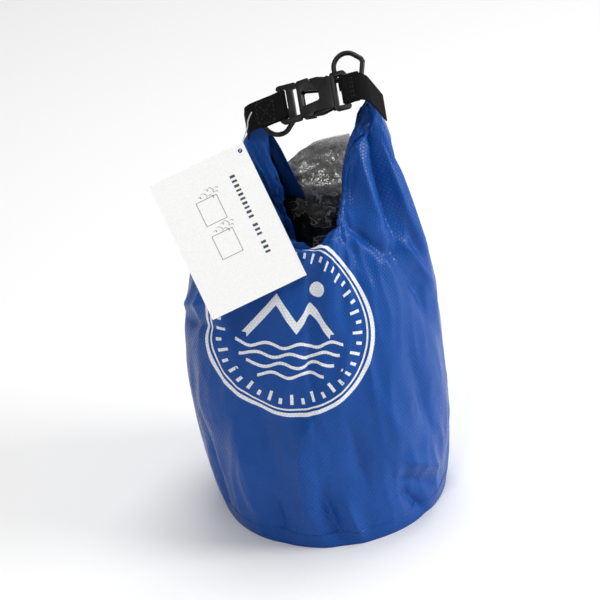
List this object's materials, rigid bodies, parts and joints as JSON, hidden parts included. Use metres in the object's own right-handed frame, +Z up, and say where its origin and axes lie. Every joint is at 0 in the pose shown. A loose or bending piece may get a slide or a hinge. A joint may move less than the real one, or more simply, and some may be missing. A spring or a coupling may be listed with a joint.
{
  "type": "dry bag",
  "caption": "Small round-based dry bag standing open, its mouth ends clipped into a carry loop, with a hang tag and a packed shoulder strap.",
  "frame": {"origin": "centre of the round base's lower face", "axes": "+Z up through the mouth; -Y is the printed front; +X is the side that holds the buckle's socket"},
  "size_m": [0.1946, 0.1901, 0.3608],
  "materials": {
    "coated_fabric": "semi-gloss coated polyester with a fine honeycomb weave",
    "webbing": "matt woven polypropylene",
    "buckle_plastic": "satin moulded acetal",
    "tag_string": "thin nylon cord",
    "tag_card": "smooth uncoated card",
    "clear_film": "crumpled clear polythene film"
  },
  "bodies": {
    "bag": {"bag_body": "coated_fabric", "bag_base": "coated_fabric", "base_band": "coated_fabric", "seam_tape": "coated_fabric", "front_strip": "coated_fabric", "back_webbing": "webbing", "right_tab": "webbing", "right_ring_loop": "webbing", "buckle_socket": "buckle_plastic"},
    "right_ring": {"right_ring": "buckle_plastic"},
    "left_end": {"left_horn": "coated_fabric", "left_tab": "webbing", "left_ring_loop": "webbing", "plug_frame": "buckle_plastic"},
    "left_ring": {"left_ring": "buckle_plastic"},
    "upper_prong": {"prong_upper": "buckle_plastic"},
    "lower_prong": {"prong_lower": "buckle_plastic"},
    "tag": {"tag_string": "tag_string", "hang_tag": "tag_card"},
    "strap_pack": {"clear_bag": "clear_film", "strap_webbing": "webbing", "strap_slider": "buckle_plastic", "hook_one": "buckle_plastic", "hook_one_eye": "buckle_plastic", "hook_two": "buckle_plastic", "hook_two_eye": "buckle_plastic"},
    "gate_one": {"gate_one": "buckle_plastic"},
    "gate_two": {"gate_two": "buckle_plastic"}
  },
  "joints": [
    {"name": "buckle_release", "type": "slide", "parent": "bag", "child": "left_end", "axis": [-0.9703, 0, -0.2419], "range_m": [0, 0.026], "deforming": ["prong_upper", "prong_lower"]},
    {"name": "upper_prong_squeeze", "type": "hinge", "parent": "left_end", "child": "upper_prong", "pos_m": [0.00989, -0.00447, 0.34089], "axis": [0.1555, 0.766, -0.6237], "range_deg": [0, 8], "stiffness_Nm_per_rad": 0.05},
    {"name": "lower_prong_squeeze", "type": "hinge", "parent": "left_end", "child": "lower_prong", "pos_m": [0.01308, -0.01553, 0.32811], "axis": [-0.1555, -0.766, 0.6237], "range_deg": [0, 8], "stiffness_Nm_per_rad": 0.05},
    {"name": "right_ring_swing", "type": "hinge", "parent": "bag", "child": "right_ring", "pos_m": [0.04151, 0.00194, 0.34511], "axis": [-0.9703, 0, -0.2419], "range_deg": [0, 60]},
    {"name": "left_ring_swing", "type": "hinge", "parent": "left_end", "child": "left_ring", "pos_m": [-0.01428, -0.00559, 0.32292], "axis": [0.9703, 0, 0.2419], "range_deg": [0, 60]},
    {"name": "tag_lift", "type": "hinge", "parent": "left_end", "child": "tag", "pos_m": [-0.0278, -0.0131, 0.3272], "axis": [-1, 0, 0], "range_deg": [0, 60]},
    {"name": "pack_pull_out", "type": "slide", "parent": "bag", "child": "strap_pack", "axis": [0, 0.0872, 0.9962], "range_m": [0, 0.24]},
    {"name": "gate_one_press", "type": "hinge", "parent": "strap_pack", "child": "gate_one", "pos_m": [0.0046, 0.03462, 0.20508], "axis": [0, -0.9962, 0.0872], "range_deg": [0, 18], "stiffness_Nm_per_rad": 0.01},
    {"name": "gate_two_press", "type": "hinge", "parent": "strap_pack", "child": "gate_two", "pos_m": [0.0286, 0.03462, 0.20508], "axis": [0, -0.9962, 0.0872], "range_deg": [0, 18], "stiffness_Nm_per_rad": 0.01}
  ]
}
